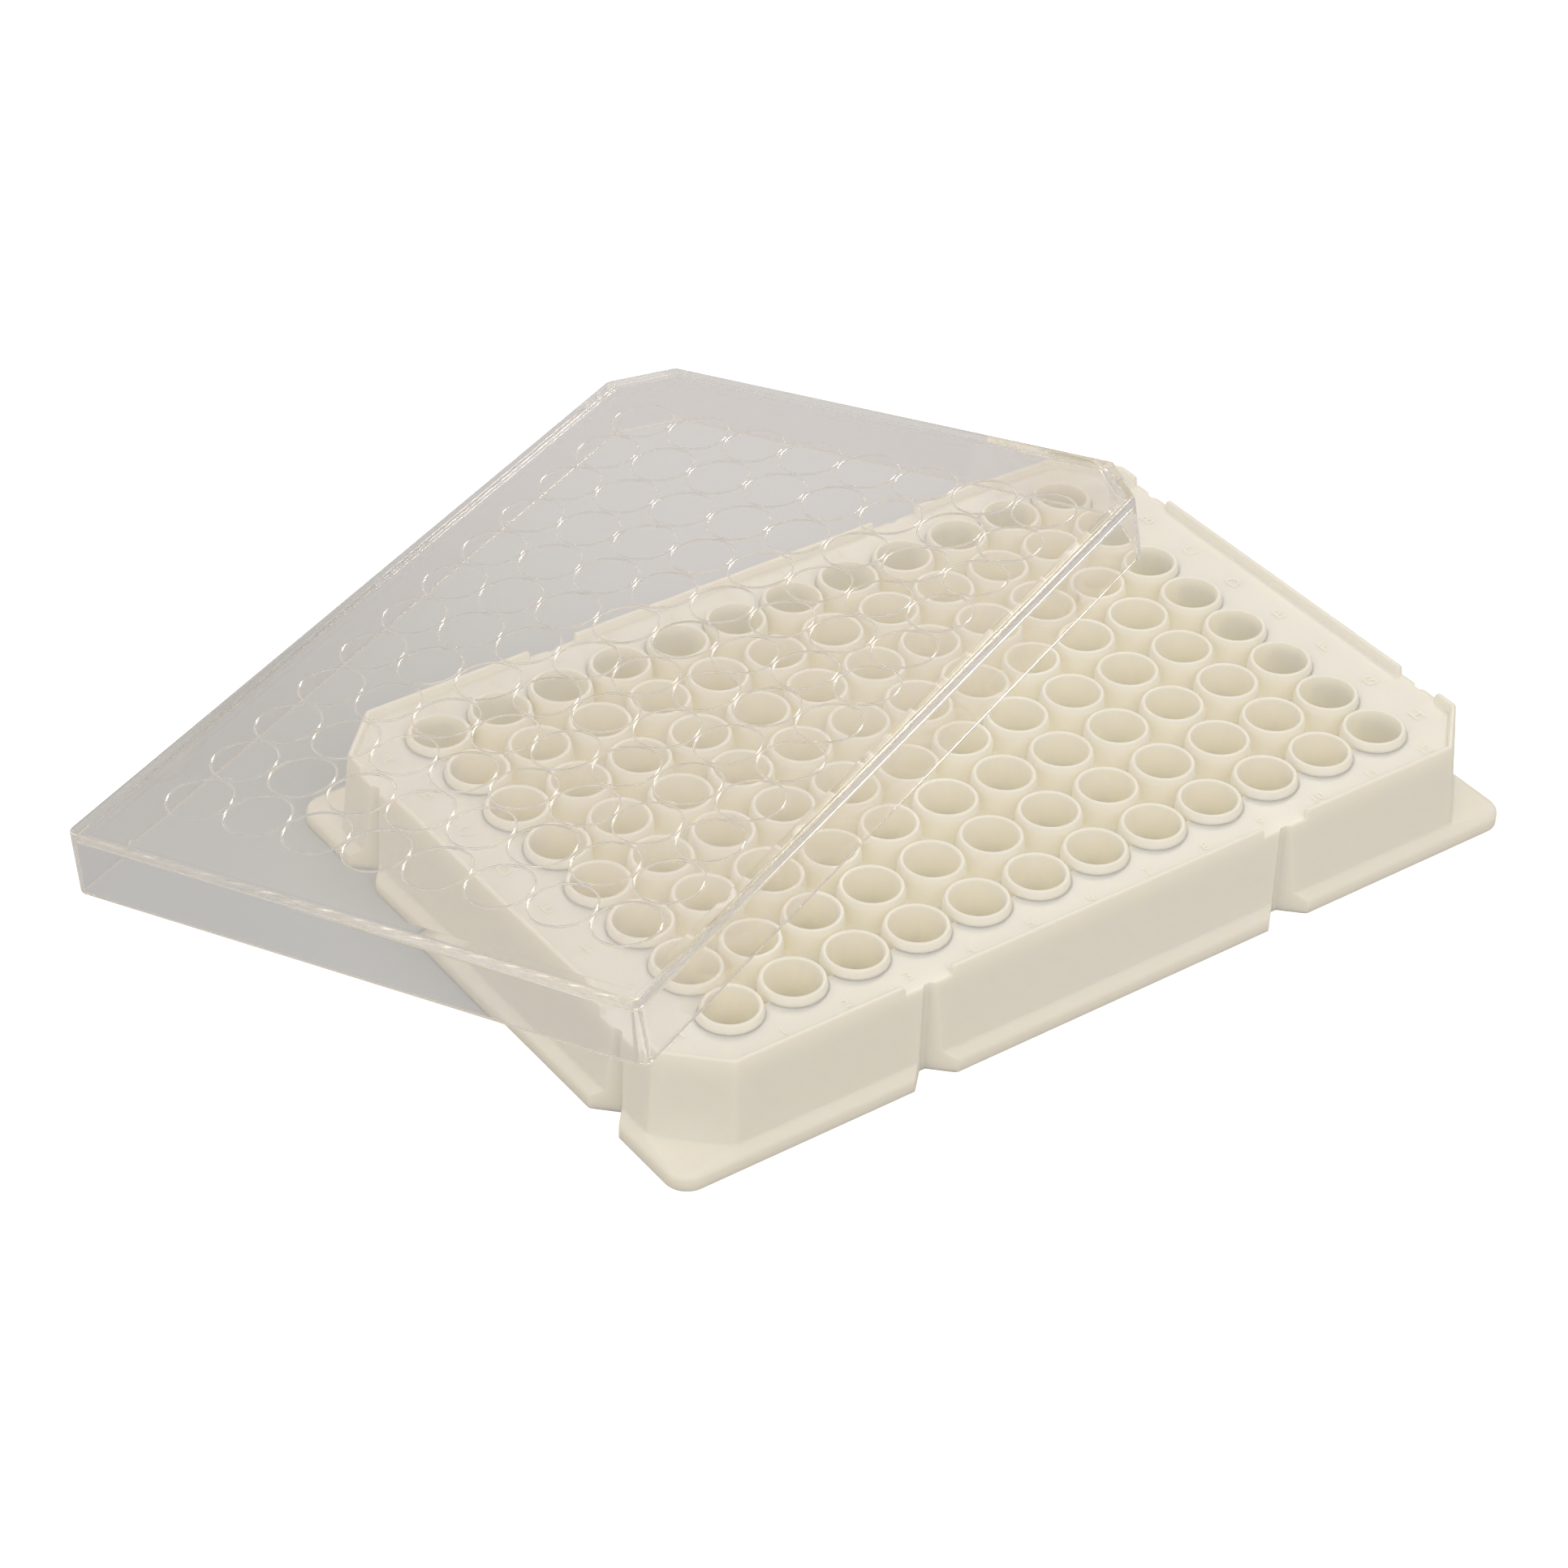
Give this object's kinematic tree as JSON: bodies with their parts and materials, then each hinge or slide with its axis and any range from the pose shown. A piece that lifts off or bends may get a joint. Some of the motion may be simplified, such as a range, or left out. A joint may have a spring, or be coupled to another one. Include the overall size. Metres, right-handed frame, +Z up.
{
  "type": "microplate with lid",
  "caption": "Laboratory microplate with a grid of round wells and a notched, flanged outer wall, with its loose clear lid lying askew on top.",
  "frame": {"origin": "under the middle of the whole object's box, on the surface that the plate stands on", "axes": "+X along the plate's long side, from column 1 to column 12; +Y from row H to row A; +Z up"},
  "size_m": [0.16, 0.1306, 0.0272],
  "materials": {
    "ivory_plastic": "satin moulded polystyrene, slightly translucent",
    "clear_plastic": "polished clear moulded polystyrene"
  },
  "bodies": {
    "plate": {"plate_frame": "ivory_plastic", "well_row_A": "ivory_plastic", "well_row_B": "ivory_plastic", "well_row_C": "ivory_plastic", "well_row_D": "ivory_plastic", "well_row_E": "ivory_plastic", "well_row_F": "ivory_plastic", "well_row_G": "ivory_plastic", "well_row_H": "ivory_plastic"},
    "lid": {"lid": "clear_plastic"}
  },
  "joints": [
    {"name": "lid_lift", "type": "slide", "parent": "plate", "child": "lid", "axis": [0, 0, 1], "range_m": [0, 0.06]}
  ]
}
